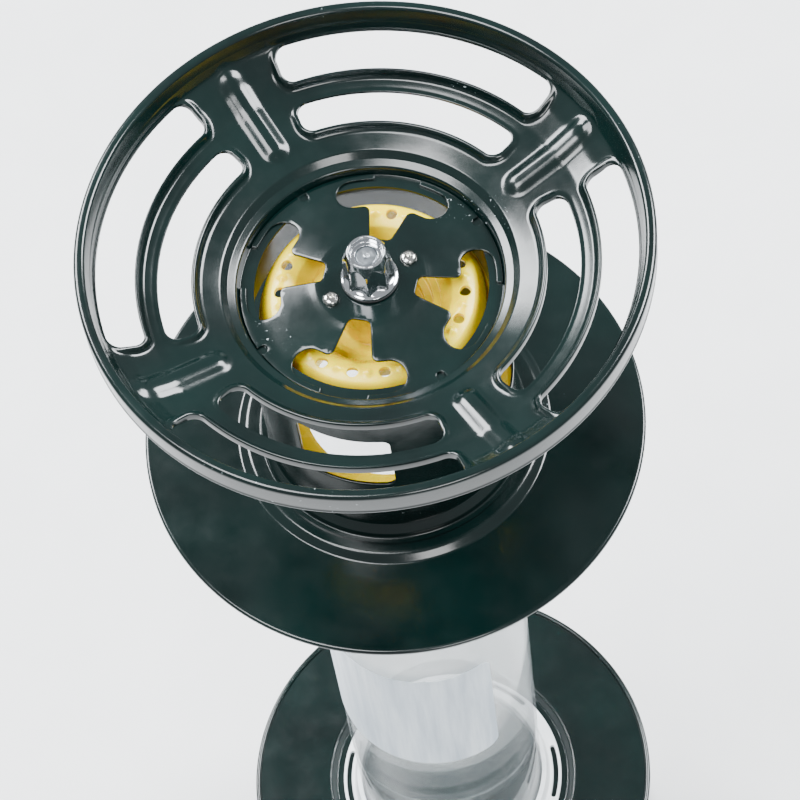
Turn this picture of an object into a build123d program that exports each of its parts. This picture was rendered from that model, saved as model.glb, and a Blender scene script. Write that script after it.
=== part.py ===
from build123d import *
import os
from math import cos, radians, sin

# Twin-spool cover reel: two pressed-steel spools on the ends of a clear tube, standing on its lower rim.
# The lower spool closes the foot of the tube; the upper one is open to it.
# Every end piece is drawn once in an end frame, whose z = 0 is the rim plane and whose -z runs towards
# the middle of the reel, and is then placed at the top and, turned over, at the bottom.

# Driving dimensions, mm
REEL_LENGTH = 936.0          # rim to rim
RIM_RADIUS = 150.0           # slotted outer flange
RIM_DEPTH = 14.9
ROLL_RADIUS = 1.7            # rolled lower edge of the rim
INNER_FLANGE_RADIUS = 143.0
BEAD_RADIUS = 1.8            # rolled edge of the inner flange
SHEET = 1.5                  # pressed steel
DRUM_RADIUS = 71.0
TUBE_RADIUS = 65.0
TUBE_WALL = 2.0
LABEL_THICKNESS = 0.3
WINDOW_WIDTH, WINDOW_CORNER = 52.0, 5.0
CUT = 70.0                   # long enough to pass through any sheet
AXLE_RADIUS = 8.0
THREAD_RADIUS = 6.0
SOCKET_RADIUS = 8.3          # spigot socket in the nose of the nut
RUNNING_GAP = 0.3            # between the stub axle's parts and the turning reel

# Depths below the rim plane, mm
PLATE_TOP = 41.0             # raised middle of the centre plate
LEDGE_TOP = 48.3             # ledge that the centre plate rests on
DRUM_TOP = 49.8
WINDOW_TOP, WINDOW_FOOT = 90.0, 138.0
LABEL_TOP, LABEL_FOOT = 420.0, 553.0
FLANGE_FACE = 200.0          # winding side of the solid inner flange
RECESS_FACE = 196.0          # its raised middle
TUBE_END = 178.0
COLUMN_FOOT = 110.5          # lower end of the hub's bearing column

# Pattern around the axis, degrees
SECTORS = 4
SECTOR_TURN = 360.0 / SECTORS
CUTOUT_ANGLE = 78.0          # middle of one cutout and of one slot pair
SPOKE_ANGLE = CUTOUT_ANGLE - SECTOR_TURN / 2
WINDOW_ANGLE = 73.5
LABEL_START, LABEL_END = 168.0, 310.0
SCREW_ANGLE = 30.0

# Slotted flange
OUTER_SLOT = (121.5, 140.5, 67.0)      # inner radius, outer radius, width in degrees
INNER_SLOT = (93.0, 110.5, 67.0)
SLOT_CORNER = 6.5
LIP_WIDTH, LIP_HEIGHT = 2.2, 4.2
RIB_HEIGHT, RIB_WIDTH = 2.6, 15.0
RIB_SPAN = (88.0, 137.0)
BOWL = [(143.3, -8.0), (141.0, -14.5), (131.0, -22.3), (118.6, -28.0), (90.0, -35.0), (79.0, -38.2)]

# Centre plate
PLATE_RADIUS = 69.3
HEAD_RADIUS, HEAD_WIDTH, HEAD_ARC = 57.0, 18.0, 44.0
STEM_FOOT, STEM_WIDTHS = 25.0, (11.0, 21.0)
RIM_NOTCH, SPOKE_NOTCH = (7.0, 25.0), (14.0, 4.6)
SCREW_CIRCLE = 23.4

# Hub
HOLE_CIRCLE, HOLES = 49.0, 18
BUMP_RADIUS = 2.2

# Bearing
RACE_OUTER, RACE_BORE, RACE_WIDTH = 16.0, 8.02, 10.0
BALL_CIRCLE, BALL_RADIUS, BALLS = 11.75, 1.4, 10
BEARING_TOPS = (45.0, 99.0)

UPPER = Location((0, 0, REEL_LENGTH))
LOWER = Location((0, 0, 0), (180, 0, 0))


def turn(angle):
    return Rotation(0, 0, angle)


def revolved(face):
    return revolve(Plane.XZ * face, Axis.Z)


def pressed(points, radii):
    """Sheet metal turned about Z along a filleted centre line of (radius, height) points."""
    return revolved(make_face(offset(FilletPolyline(*points, radius=radii), SHEET / 2, side=Side.BOTH)))


def ring(outer, inner, top, foot):
    """Plain ring between two depths below the rim plane."""
    section = Polyline((inner, -top), (outer, -top), (outer, -foot), (inner, -foot), close=True)
    return revolved(make_face(section))


def arc_slot(span, grow=0.0):
    """Plan of an arc-shaped slot with rounded corners, its middle on the X axis."""
    inner, outer, width = span
    half, corner = radians(width / 2), SLOT_CORNER + grow
    inner, outer = inner - grow, outer + grow
    def corner_point(radius):
        edge = Vector(cos(half), sin(half)) * radius
        return edge + Vector(-sin(half), cos(half)) * grow
    low, high = corner_point(inner), corner_point(outer)
    outline = Wire([
        ThreePointArc((low.X, -low.Y), (inner, 0), (low.X, low.Y)),
        Line((low.X, low.Y), (high.X, high.Y)),
        ThreePointArc((high.X, high.Y), (outer, 0), (high.X, -high.Y)),
        Line((high.X, -high.Y), (low.X, -low.Y)),
    ])
    face = make_face(outline)
    return fillet(face.vertices(), corner)


def above_bowl(height):
    """Solid band that lies on the bowl of the flange and is as thick as height."""
    skin = SHEET / 2
    low = [(r, z) for r, z in BOWL]
    high = [(r, z + skin + height) for r, z in reversed(BOWL)]
    return revolved(make_face(Polyline(*low, *high, close=True)))


def slotted_flange():
    top = -SHEET / 2
    wall = [(RIM_RADIUS - 1.1, -RIM_DEPTH), (RIM_RADIUS - 0.8, top), (RIM_RADIUS - 5.0, top)]
    recess = [(75.6, -41.8), (71.4, -43.2), (70.2, -LEDGE_TOP - SHEET / 2), (62.0, -LEDGE_TOP - SHEET / 2)]
    radii = [2.2, 1.6, 4.0, 6.0, 12.0, 12.0, 12.0, 2.0, 1.5, 1.2, 1.0]
    flange = pressed(wall + BOWL + recess, radii)
    roll = Pos(0, 0, -RIM_DEPTH) * Torus(RIM_RADIUS - ROLL_RADIUS, ROLL_RADIUS)
    lips, slots, ribs = [], [], []
    for sector in range(SECTORS):
        middle = turn(CUTOUT_ANGLE + sector * SECTOR_TURN)
        for span in (OUTER_SLOT, INNER_SLOT):
            lips.append(middle * extrude(arc_slot(span, LIP_WIDTH), -CUT))
            slots.append(middle * extrude(arc_slot(span), -CUT))
        spoke = turn(SPOKE_ANGLE + sector * SECTOR_TURN)
        middle_radius, length = sum(RIB_SPAN) / 2, RIB_SPAN[1] - RIB_SPAN[0]
        ribs.append(spoke * Pos(middle_radius, 0) * extrude(SlotOverall(length, RIB_WIDTH), -CUT))
    raised_lips = Compound(lips) & above_bowl(LIP_HEIGHT)
    raised_ribs = Compound(ribs) & above_bowl(RIB_HEIGHT)
    flange = flange + roll + raised_lips + raised_ribs
    return flange - slots


def cutout():
    """Plan of one anchor-shaped cutout: an arc-shaped head and a stem that narrows towards the axis."""
    path = CenterArc((0, 0), HEAD_RADIUS, -HEAD_ARC / 2, HEAD_ARC)
    narrow, wide = STEM_WIDTHS
    shoulder = HEAD_RADIUS - HEAD_WIDTH / 2 + 3
    stem = make_face(Polyline((STEM_FOOT, -narrow / 2), (shoulder, -wide / 2), (shoulder, wide / 2),
                              (STEM_FOOT, narrow / 2), close=True))
    stem = fillet(stem.vertices().sort_by(Axis.X)[:2], 4.5)
    return SlotArc(path, HEAD_WIDTH) + stem


def centre_plate():
    middle = PLATE_TOP + SHEET / 2
    rest = LEDGE_TOP - SHEET / 2
    outline = [(AXLE_RADIUS + 2, -middle), (29.5, -middle), (32.0, -middle - 1.2),
               (61.0, -rest), (PLATE_RADIUS - SHEET / 2, -rest)]
    plate = pressed(outline, [1.5, 1.5, 6.0])
    bore = Cylinder(AXLE_RADIUS + RUNNING_GAP, 120)
    holes = [bore]
    for sector in range(SECTORS):
        window = turn(CUTOUT_ANGLE + sector * SECTOR_TURN)
        holes.append(window * extrude(cutout(), -CUT))
        holes.append(window * Pos(PLATE_RADIUS, 0) * extrude(Rectangle(*RIM_NOTCH), -CUT))
        notch = turn(SPOKE_ANGLE + sector * SECTOR_TURN) * Pos(PLATE_RADIUS, 0)
        holes.append(notch * extrude(SlotOverall(*SPOKE_NOTCH), -CUT))
    for angle in (SCREW_ANGLE, SCREW_ANGLE + 180):
        holes.append(turn(angle) * Pos(SCREW_CIRCLE, 0) * Cylinder(2.3, 120))
    disc = ring(AXLE_RADIUS + 3, AXLE_RADIUS + RUNNING_GAP, PLATE_TOP, PLATE_TOP + SHEET)
    return plate + disc - holes


def plate_screws():
    """Two pan-head screws with a six-lobe recess."""
    dome = Pos(0, 0, -PLATE_TOP - 4.2) * Sphere(7.0) & Pos(0, 0, -PLATE_TOP) * Cylinder(
        4.4, 4, align=(Align.CENTER, Align.CENTER, Align.MIN))
    shank = Pos(0, 0, -PLATE_TOP + 0.1) * Cylinder(1.9, 12, align=(Align.CENTER, Align.CENTER, Align.MAX))
    lobes = [Rotation(0, 0, 60 * k) * Pos(1.5, 0, -PLATE_TOP + 2.8) * Cylinder(0.65, 3) for k in range(6)]
    socket = [Pos(0, 0, -PLATE_TOP + 2.8) * Cylinder(1.35, 3)]
    screw = dome + shank - (lobes + socket)
    return Compound([turn(SCREW_ANGLE + half) * Pos(SCREW_CIRCLE, 0) * screw for half in (0, 180)])


def drum():
    wall = DRUM_RADIUS - SHEET / 2
    foot = RECESS_FACE - SHEET / 2
    shell = pressed([(wall, -DRUM_TOP - SHEET / 2), (wall, -186.0), (74.5, -191.5), (74.5, -foot),
                     (78.5, -foot)], [3.0, 2.0, 1.5])
    height = WINDOW_FOOT - WINDOW_TOP
    window = extrude(RectangleRounded(WINDOW_WIDTH, height, WINDOW_CORNER), DRUM_RADIUS + 8)
    cuts = []
    for sector in range(SECTORS):
        facing = turn(WINDOW_ANGLE + sector * SECTOR_TURN) * Pos(0, 0, -(WINDOW_TOP + WINDOW_FOOT) / 2)
        cuts.append(facing * Rotation(90, 0, 90) * window)
    return shell - cuts


def inner_flange():
    raised = RECESS_FACE + SHEET / 2
    face = FLANGE_FACE + SHEET / 2
    disc = pressed([(70.3, -raised), (84.0, -raised), (88.5, -face), (141.0, -face)], [3.0, 3.0])
    bead = Pos(0, 0, -face - 1.0) * Torus(INNER_FLANGE_RADIUS - BEAD_RADIUS, BEAD_RADIUS)
    return disc + bead


def closed_inner_flange():
    """The lower spool's inner flange, whose middle is left solid and closes the foot of the tube."""
    return inner_flange() + ring(71.0, 0.0, RECESS_FACE, RECESS_FACE + SHEET)


def hub():
    """Moulded bell: a domed ring with a hole circle, turned steps and a bearing column in the middle."""
    dome = [(62.2, -72.0), (60.0, -72.0), (60.0, -64.0), (55.5, -55.5), (49.0, -53.0), (42.0, -56.5),
            (36.0, -64.0), (36.0, -67.0), (31.5, -67.0), (31.5, -71.0), (27.0, -71.0), (27.0, -75.0),
            (18.0, -75.0)]
    inner = [(18.0, -78.0), (29.5, -78.0), (29.5, -74.0), (34.0, -70.0), (38.0, -69.5), (44.0, -59.5),
             (49.0, -56.0), (53.0, -57.5), (57.0, -65.0), (57.0, -75.0), (62.2, -75.0)]
    bell = revolved(make_face(Polyline(*dome, *inner, close=True)))
    column = ring(19.5, 14.0, PLATE_TOP + SHEET, COLUMN_FOOT)
    bosses = [turn(SCREW_ANGLE + half) * Pos(21.5, 0, -PLATE_TOP - SHEET) *
              Cylinder(4.6, 36, align=(Align.CENTER, Align.CENTER, Align.MAX)) for half in (0, 180)]
    pockets = [ring(RACE_OUTER, 0.0, top, top + RACE_WIDTH + 0.05) for top in BEARING_TOPS]
    mouth = ring(RACE_OUTER, 0.0, COLUMN_FOOT - 1.45, COLUMN_FOOT + 1)
    top_mouth = ring(RACE_OUTER, 0.0, PLATE_TOP, BEARING_TOPS[0])
    threads = [turn(SCREW_ANGLE + half) * Pos(SCREW_CIRCLE, 0, -PLATE_TOP) *
               Cylinder(2.0, 16, align=(Align.CENTER, Align.CENTER, Align.MAX)) for half in (0, 180)]
    holes = [turn(CUTOUT_ANGLE + k * 360 / HOLES) * Pos(HOLE_CIRCLE, 0, -50) *
             Cylinder(3.0, 20, align=(Align.CENTER, Align.CENTER, Align.MAX)) for k in range(HOLES)]
    bumps = [turn(CUTOUT_ANGLE + (k + 0.5) * 360 / HOLES) * Pos(HOLE_CIRCLE, 0, -54.3) *
             Sphere(BUMP_RADIUS) for k in range(HOLES)]
    bell = bell + column + bosses + bumps
    clear = ring(13.9, 0.0, PLATE_TOP, COLUMN_FOOT + 1)
    return bell - (pockets + threads + holes + [mouth, top_mouth, clear])


def bearing_races(outer, inner):
    return Compound([ring(outer, inner, top, top + RACE_WIDTH) for top in BEARING_TOPS])


def bearing_balls():
    middle = RACE_WIDTH / 2
    return Compound([turn(k * 360.0 / BALLS) * Pos(BALL_CIRCLE, 0, -top - middle) * Sphere(BALL_RADIUS)
                     for top in BEARING_TOPS for k in range(BALLS)])


def stub_axle():
    """Stepped steel stub with a threaded nose inside the nut and a groove for the retaining ring."""
    groove = COLUMN_FOOT - 1.5
    nose, seat = -18.0, -PLATE_TOP + RUNNING_GAP
    outline = [(0, nose), (THREAD_RADIUS - 0.7, nose), (THREAD_RADIUS, nose - 0.7), (THREAD_RADIUS, seat),
               (AXLE_RADIUS, seat), (AXLE_RADIUS, -groove), (AXLE_RADIUS - 1, -groove),
               (AXLE_RADIUS - 1, -groove - 1.2), (AXLE_RADIUS, -groove - 1.2), (AXLE_RADIUS, -116.0),
               (AXLE_RADIUS - 1, -117.0), (0, -117.0)]
    return revolved(make_face(Polyline(*outline, close=True)))


def retaining_ring():
    groove = COLUMN_FOOT - 1.5
    clip = ring(11.5, AXLE_RADIUS - 1, groove, groove + 1.2)
    return clip - Pos(9, 0, -groove) * Box(12, 4, 6)


def nut():
    """Fluted drive nut: flange, slightly conical body with eight flutes, bevelled shoulder, open nose."""
    seat = PLATE_TOP - RUNNING_GAP - 1.5
    body = [(THREAD_RADIUS + 0.05, -seat), (15.0, -seat), (15.0, -seat + 1.4), (14.4, -seat + 2.0),
            (13.3, -seat + 2.4), (12.7, -20.5), (10.4, -14.3), (9.9, -13.6), (8.9, -13.6),
            (SOCKET_RADIUS, -14.4), (SOCKET_RADIUS, -17.8), (THREAD_RADIUS + 0.05, -17.8)]
    turned = revolved(make_face(Polyline(*body, close=True)))
    flute = Pos(15.1, 0, -seat + 2.6) * Cylinder(4.0, 30, align=(Align.CENTER, Align.CENTER, Align.MIN))
    shape = Pos(0, 0, -seat + 2.6) * Cone(11.9, 10.9, 30, align=(Align.CENTER, Align.CENTER, Align.MIN))
    flutes = [turn(45.0 * k + 22.5) * flute - shape for k in range(8)]
    return turned - flutes


def washer():
    return ring(15.3, THREAD_RADIUS + 0.3, PLATE_TOP - RUNNING_GAP - 1.5, PLATE_TOP - RUNNING_GAP)


def tube_socket():
    """Moulded funnel ring inside the drum's foot, with a shoulder that the clear tube butts against."""
    bore = TUBE_RADIUS + 0.05
    section = [(69.45, -158.0), (69.45, -195.8), (bore, -195.8), (bore, -TUBE_END), (60.0, -TUBE_END),
               (50.0, -TUBE_END), (48.0, -176.0), (48.0, -170.0), (50.5, -169.0), (62.0, -166.0),
               (66.8, -158.0)]
    return revolved(make_face(Polyline(*section, close=True)))


def tube_collar():
    """Moulded ring round the tube in the recess of the inner flange, with oblong slots."""
    top = RECESS_FACE + SHEET
    section = Polyline((TUBE_RADIUS + 0.1, -top), (79.0, -top), (79.0, -top - 2.5), (71.0, -top - 4.0),
                       (68.5, -top - 12.0), (TUBE_RADIUS + 0.1, -top - 12.0), close=True)
    collar = revolved(make_face(section))
    slot = extrude(SlotArc(CenterArc((0, 0), 75.0, -14, 28), 3.6), -260)
    return collar - [turn(60.0 * k) * slot for k in range(6)]


def clear_tube():
    """Tube from the upper socket's shoulder down to the lower spool's closed flange."""
    foot = REEL_LENGTH - RECESS_FACE - SHEET
    return ring(TUBE_RADIUS, TUBE_RADIUS - TUBE_WALL, TUBE_END, foot)


def tube_label():
    """Blank paper label that wraps the upper part of the tube."""
    first, last = LABEL_START, LABEL_END
    sheet = ring(TUBE_RADIUS + LABEL_THICKNESS, TUBE_RADIUS, LABEL_TOP, LABEL_FOOT)
    wedge = Polyline((0, 0), *[(90 * cos(radians(a)), 90 * sin(radians(a))) for a in
                               (first, first + 45, (first + last) / 2, last - 45, last)], close=True)
    return sheet & extrude(make_face(wedge), -REEL_LENGTH)


END_PIECES = {
    "slotted_flange": slotted_flange, "centre_plate": centre_plate, "plate_screws": plate_screws,
    "drum": drum, "hub": hub, "bearing_balls": bearing_balls,
    "stub_axle": stub_axle, "retaining_ring": retaining_ring, "nut": nut, "washer": washer,
    "tube_collar": tube_collar,
    "bearing_outer_races": lambda: bearing_races(RACE_OUTER, 13.2),
    "bearing_inner_races": lambda: bearing_races(10.3, RACE_BORE),
}

os.makedirs("parts", exist_ok=True)
for name, build in END_PIECES.items():
    piece = build()
    export_step(UPPER * piece, f"parts/upper_{name}.step")
    export_step(LOWER * piece, f"parts/lower_{name}.step")
export_step(UPPER * inner_flange(), "parts/upper_inner_flange.step")
export_step(LOWER * closed_inner_flange(), "parts/lower_inner_flange.step")
export_step(UPPER * tube_socket(), "parts/upper_tube_socket.step")
export_step(UPPER * clear_tube(), "parts/clear_tube.step")
export_step(UPPER * tube_label(), "parts/tube_label.step")
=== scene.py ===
"""Looks of a twin-spool cover reel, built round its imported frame.

The file is laid out as an add-on and run as a script. Each end of the reel is shaped once in an end frame,
in millimetres, whose z = 0 is the rim plane and whose -z runs towards the middle of the reel. It is then
placed at the top and, turned over about X, at the bottom.
"""
from math import ceil, degrees, radians

import bmesh
import bpy
import numpy as np
from bpy.props import FloatProperty, FloatVectorProperty, IntProperty, PointerProperty
from bpy.types import Operator, Panel, PropertyGroup
from mathutils import Matrix, Vector
from mathutils.geometry import delaunay_2d_cdt


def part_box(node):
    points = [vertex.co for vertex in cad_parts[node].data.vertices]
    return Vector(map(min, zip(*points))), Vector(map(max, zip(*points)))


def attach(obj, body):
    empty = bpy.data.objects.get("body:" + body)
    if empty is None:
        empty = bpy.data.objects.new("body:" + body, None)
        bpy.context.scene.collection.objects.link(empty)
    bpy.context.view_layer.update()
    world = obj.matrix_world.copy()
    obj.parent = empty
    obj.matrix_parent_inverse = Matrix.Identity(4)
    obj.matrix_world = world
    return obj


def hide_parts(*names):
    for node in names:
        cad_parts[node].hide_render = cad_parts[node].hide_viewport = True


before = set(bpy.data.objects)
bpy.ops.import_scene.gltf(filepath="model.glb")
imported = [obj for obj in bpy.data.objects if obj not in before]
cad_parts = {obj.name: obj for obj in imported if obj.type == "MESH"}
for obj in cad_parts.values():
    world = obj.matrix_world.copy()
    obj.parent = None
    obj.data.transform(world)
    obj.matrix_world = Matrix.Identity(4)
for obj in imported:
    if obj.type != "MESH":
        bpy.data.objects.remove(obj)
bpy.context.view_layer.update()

bl_info = {
    "name": "Cover Reel",
    "version": (1, 0, 0),
    "blender": (4, 5, 0),
    "location": "View3D > Sidebar > Reel",
    "description": "Shapes and finishes of a twin-spool cover reel",
    "category": "Object",
}

MM = 0.001
SIDES = ("upper", "lower")
STUBS = ("upper_stub", "lower_stub")


def frame_mm(node, corner, axis):
    """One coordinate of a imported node's box, in millimetres: corner 0 is the lowest, 1 the highest."""
    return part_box(node)[corner][axis] / MM


# Driving sizes, read from the frame
RIM = frame_mm("upper_slotted_flange", 1, 0)
TOP = frame_mm("upper_slotted_flange", 1, 2)
LEDGE = frame_mm("upper_slotted_flange", 0, 2) - TOP
INNER_RIM = frame_mm("upper_inner_flange", 1, 0)
FLANGE_TOP = frame_mm("upper_inner_flange", 1, 2) - TOP
PLATE_RIM = frame_mm("upper_centre_plate", 1, 0)
PLATE_TOP = frame_mm("upper_centre_plate", 1, 2) - TOP
DRUM_FOOT = frame_mm("upper_drum", 0, 2) - TOP
TUBE = frame_mm("clear_tube", 1, 0)
TUBE_TOP = frame_mm("clear_tube", 1, 2) - TOP
TUBE_FOOT = frame_mm("clear_tube", 0, 2) - TOP
LABEL_TOP = frame_mm("tube_label", 1, 2) - TOP
LABEL_FOOT = frame_mm("tube_label", 0, 2) - TOP
NUT_FOOT = frame_mm("upper_nut", 0, 2) - TOP
NUT_TOP = frame_mm("upper_nut", 1, 2) - TOP

# Pattern round the axis: the first cut-out, drum window and screw in degrees, and the screws' radius
CUTOUT, WINDOW, SCREW = 78.0, 73.5, 30.0
SPOKES = 4
QUARTER = 360 / SPOKES
SCREWS_AT = 23.4


# ---------------------------------------------------------------- lines and grids

def arc(centre, radius, first, last, points=9):
    """Points on a circle from one angle to another, in degrees."""
    a = np.radians(np.linspace(first, last, points))
    return np.stack([centre[0] + radius * np.cos(a), centre[1] + radius * np.sin(a)], axis=1)


def rounded(corners, radii, closed=False, step=15.0):
    """Polyline with arcs for corners, tangent to both runs.

    An arc of radius R cuts R tan(turn / 2) off each run, and never more than about half of it.
    """
    corners = np.asarray(corners, float)
    if closed:
        corners = np.concatenate([corners[-1:], corners, corners[:1]])
    lines = [] if closed else [corners[:1]]
    spots = zip(corners[:-2], corners[1:-1], corners[2:], np.broadcast_to(radii, len(corners) - 2))
    for before, here, after, radius in spots:
        run, next_run = here - before, after - here
        a, b = run / np.linalg.norm(run), next_run / np.linalg.norm(next_run)
        turn = np.arctan2(a[0] * b[1] - a[1] * b[0], a @ b)
        if radius == 0 or abs(turn) < 1e-3:
            lines.append(here[None])
            continue
        half = np.tan(abs(turn) / 2)
        cut = min(radius * half, 0.49 * np.linalg.norm(run), 0.49 * np.linalg.norm(next_run))
        start, side = here - a * cut, np.sign(turn) * np.array([-a[1], a[0]])
        centre = start + side * cut / half
        first = np.arctan2(*(start - centre)[::-1])
        points = max(3, ceil(degrees(abs(turn)) / step) + 1)
        lines.append(arc(centre, cut / half, degrees(first), degrees(first + turn), points))
    if not closed:
        lines.append(corners[-1:])
    return np.concatenate(lines)


def sided(line, distance, closed=False):
    """Line moved to its left: each point goes along the normal of the chord between its neighbours."""
    run = np.roll(line, -1, 0) - np.roll(line, 1, 0) if closed else np.gradient(line, axis=0)
    run = run / np.linalg.norm(run, axis=1, keepdims=True)
    return line + distance * np.stack([-run[:, 1], run[:, 0]], axis=1)


def split(line, value, column=0):
    """Line cut in two where a coordinate falls below a value, with the cutting point in both."""
    i = int(np.argmax(line[:, column] < value))
    share = (line[i - 1, column] - value) / (line[i - 1, column] - line[i, column])
    spot = line[i - 1:i] + share * (line[i:i + 1] - line[i - 1:i])
    return np.concatenate([line[:i], spot]), np.concatenate([spot, line[i:]])


def dense(line, spacing):
    """Line with points added so that none of its runs is longer than the spacing."""
    along = np.concatenate([[0], np.cumsum(np.linalg.norm(np.diff(line, axis=0), axis=1))])
    regular = np.linspace(0, along[-1], ceil(along[-1] / spacing) + 1)
    spots = np.unique(np.concatenate([along, regular]).round(6))
    return np.stack([np.interp(spots, along, line[:, k]) for k in (0, 1)], axis=1)


def height_at(line, radius):
    """Height of a line of (radius, height) points, whose radius falls along it."""
    return np.interp(radius, line[::-1, 0], line[::-1, 1])


def smooth(share):
    """Soft step from 0 to 1: 3 s^2 - 2 s^3."""
    share = np.clip(share, 0, 1)
    return share * share * (3 - 2 * share)


def turned(section, around):
    """Section of (radius, height) points carried round the axis: x = r cos a, y = r sin a."""
    a = np.radians(around)
    r, z = section[:, 0, None], section[:, 1, None]
    return np.stack([r * np.cos(a), r * np.sin(a), z + 0 * a], axis=-1)


def evenly(count, start=0.0):
    """That many angles all round, equally far apart."""
    return start + np.arange(count) * 360.0 / count


def repeated(pattern, start):
    """Angles all round, from a pattern of angles across one sector that is centred on start."""
    sector = pattern[-1] - pattern[0]
    sectors = round(360 / sector)
    return np.concatenate([start + k * sector + pattern[:-1] for k in range(sectors)])


def wrapped(x, y, height, reference, facing):
    """Flat (x, y) laid round the axis: y is the radius, x the arc length at the reference radius."""
    a = radians(facing) + x / reference
    return np.stack([y * np.cos(a), y * np.sin(a), height], axis=-1)


def hole_cell(across, up, middle, half, corner, near, steps):
    """Rows that fan out from the rim of a rounded-rectangle hole to the outline of its oblong cell.

    For a point E of the cell's outline, Q is E clamped to the rectangle of the hole's corner centres.
    The row at distance t from the rim is Q + (corner + t) (E - Q) / |E - Q|, which is the rim's own normal.
    The first rows lie at the near distances, and the others divide the rest of the way to E evenly.
    """
    flat = np.full(len(across) - 1, 1.0)
    post = np.full(len(up) - 1, across[-1])
    outline = np.concatenate([
        np.stack([across[:-1], flat * up[0]], axis=1), np.stack([post, up[:-1]], axis=1),
        np.stack([across[:0:-1], flat * up[-1]], axis=1), np.stack([-post, up[:0:-1]], axis=1)])
    outline = outline - (0, middle)
    core = np.asarray(half) - corner
    anchor = np.clip(outline, -core, core)
    ray = outline - anchor
    length = np.linalg.norm(ray, axis=1)
    reach = length - corner
    near = np.asarray(near, float)
    close = near[:, None] * np.minimum(1, 0.85 * reach / near[-1])
    far = close[-1] + (reach - close[-1]) * np.linspace(0, 1, steps + 1)[1:, None]
    distance = np.concatenate([close, far])
    spot = anchor + ray * ((corner + distance) / length)[..., None]
    return spot[..., 0], spot[..., 1] + middle


# ---------------------------------------------------------------- meshes and pieces

def grid_faces(rows, columns, close_rows, close_columns):
    """Corner numbers of the quads between neighbouring points of a grid."""
    i = np.arange(rows if close_rows else rows - 1)[:, None]
    j = np.arange(columns if close_columns else columns - 1)[None, :]
    k, l = (i + 1) % rows, (j + 1) % columns
    quads = np.broadcast_arrays(i * columns + j, k * columns + j, k * columns + l, i * columns + l)
    return np.stack(quads, axis=-1).reshape(-1, 4)


def joined(patches):
    """Points and faces of several grids, each given as (grid, whether its rows close, its columns close)."""
    points, faces, start = [], [], 0
    for grid, close_rows, close_columns in patches:
        points.append(grid.reshape(-1, 3))
        faces.append(grid_faces(*grid.shape[:2], close_rows, close_columns) + start)
        start += grid.shape[0] * grid.shape[1]
    return np.concatenate(points), np.concatenate(faces)


def placed(points, side):
    """End-frame points in the reel's frame: lifted to the upper rim, or turned over about X for the lower."""
    return points + (0, 0, TOP) if side == "upper" else points * (1, -1, -1)


def add_piece(name, points, faces, finish, body, stands_for, crease=38.0):
    """Closed mesh object from points in millimetres: meeting points merged, faces outwards, creases sharp."""
    mesh = bpy.data.meshes.new(name)
    mesh.vertices.add(len(points))
    mesh.vertices.foreach_set("co", (points * MM).ravel())
    mesh.loops.add(faces.size)
    mesh.loops.foreach_set("vertex_index", faces.ravel())
    mesh.polygons.add(len(faces))
    mesh.polygons.foreach_set("loop_start", np.arange(0, faces.size, faces.shape[1]))
    mesh.update(calc_edges=True)
    work = bmesh.new()
    work.from_mesh(mesh)
    bmesh.ops.remove_doubles(work, verts=work.verts, dist=0.004 * MM)
    bmesh.ops.recalc_face_normals(work, faces=work.faces)
    work.to_mesh(mesh)
    work.free()
    mesh.shade_smooth()
    mesh.set_sharp_from_angle(angle=radians(crease))
    piece = bpy.data.objects.new(name, mesh)
    bpy.context.scene.collection.objects.link(piece)
    slot, material = finish
    mesh.materials.append(material)
    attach(piece, body)
    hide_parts(*stands_for)
    return piece


def add_end(part, side, shape, finish, body="reel", crease=38.0):
    """One end's piece from its points and faces in the end frame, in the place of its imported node."""
    points, faces = shape
    name = f"{side}_{part}"
    add_piece(f"{name}_shape", placed(points, side), faces, finish, body, [name], crease)


def add_ends(part, patches, finish, bodies=("reel", "reel")):
    """The same shape at both ends of the reel."""
    shape = joined(patches)
    for side, body in zip(SIDES, bodies):
        add_end(part, side, shape, finish, body)


# ---------------------------------------------------------------- shapes

# Angles across a quarter of the slotted flange: coarse along a slot, fine round its ends and on the ribs
SLOT_ANGLES = np.concatenate([np.arange(-45, -28, 1.0), np.arange(-28, 28, 2.0), np.arange(28, 46, 1.0)])
SLOT_HALF_TURN, SLOT_CORNER = 33.5, 6.5
WEB = (84.0, 116.0, 142.6)
SLOTS = {  # cell, slot radii, and the height of its rolled lip's crest at those radii
    "inner": (WEB[0:2], (93.0, 110.5), (-30.4, -28.9)),
    "outer": (WEB[1:3], (121.5, 140.5), (-22.3, -13.8)),
}
# Rolled lip: distance from the slot's edge, and share of the way from the web up to the crest
LIP = [(0.0, 0.0), (0.0, 0.6), (0.2, 0.84), (0.7, 0.97), (1.2, 1.0), (1.8, 0.95), (2.4, 0.74),
       (3.0, 0.42), (3.6, 0.17), (4.4, 0.04), (5.4, 0.0)]


def rib_lift(sizes, off_spoke, radius):
    """Pressed rib on a spoke: highest near a segment along it, and nothing half a width away from that."""
    past_end = np.maximum(0, 93.5 - radius) + np.maximum(0, radius - 133.0)
    away = np.hypot(off_spoke, past_end)
    return sizes.rib_height / MM * smooth((sizes.rib_width / MM / 2 - away) / 7.2)


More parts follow.
